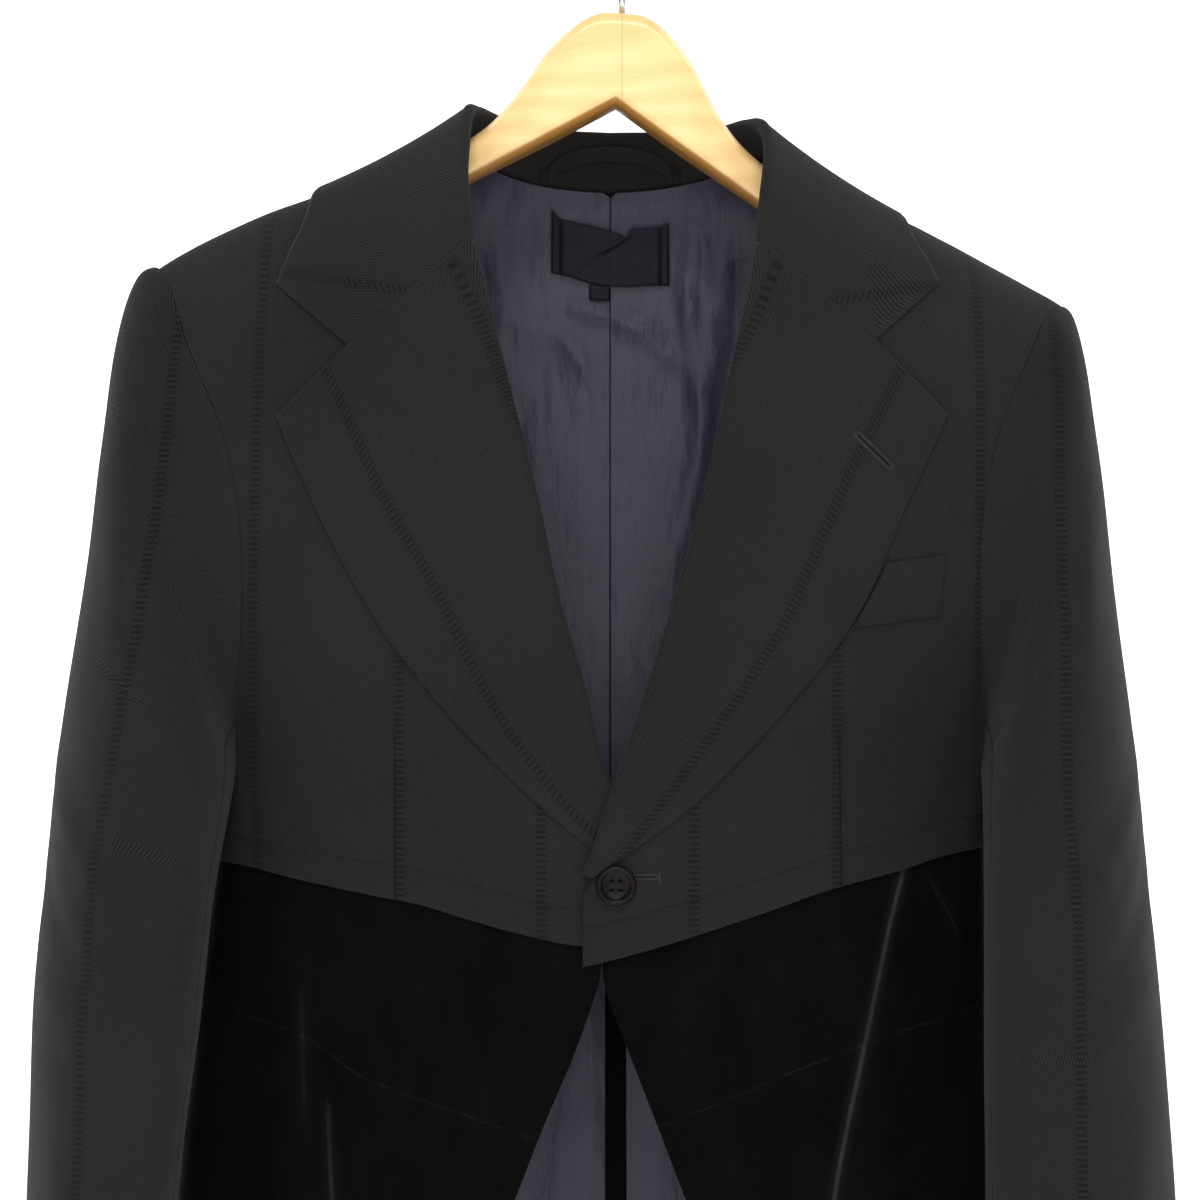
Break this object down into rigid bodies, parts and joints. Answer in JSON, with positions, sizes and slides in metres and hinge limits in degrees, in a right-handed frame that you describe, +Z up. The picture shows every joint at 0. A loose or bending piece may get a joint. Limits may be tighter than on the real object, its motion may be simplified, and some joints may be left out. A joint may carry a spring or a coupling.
{
  "type": "long jacket",
  "caption": "Long tailored jacket on a wooden hanger, with wide lapels, a cropped wool front over cut-away velvet skirts, a back vent and a satin lining.",
  "frame": {"origin": "inner top of the hanger's hook, where it rests on a rail", "axes": "+Z up along the garment's length, +X toward the wearer's left side (the viewer's right), -Y toward the front"},
  "size_m": [0.5466, 0.2242, 1.1337],
  "materials": {
    "wool": "fine black wool twill with faint self stripes",
    "velvet": "short black velvet pile",
    "satin": "dark purple-grey satin",
    "label": "dark woven satin, bare",
    "horn": "polished dark horn look",
    "wood": "clear satin varnish",
    "steel": "polished wire"
  },
  "bodies": {
    "root": {"front_left": "wool", "front_right": "wool", "back_left": "wool", "back_right": "wool", "sleeve_left_upper": "wool", "sleeve_left_under": "wool", "sleeve_right_upper": "wool", "sleeve_right_under": "wool", "lapel_left": "wool", "lapel_right": "wool", "collar": "wool", "chest_welt": "wool", "velvet_front_left": "velvet", "velvet_front_right": "velvet", "velvet_back_left": "velvet", "velvet_back_right": "velvet", "vent_facing": "velvet", "lining_left": "satin", "lining_right": "satin", "neck_label": "label", "size_tab": "label", "hanger_loop": "wool", "button": "horn", "button_thread": "wool", "hanger_wood": "wood", "hanger_hook": "steel"}
  },
  "joints": []
}
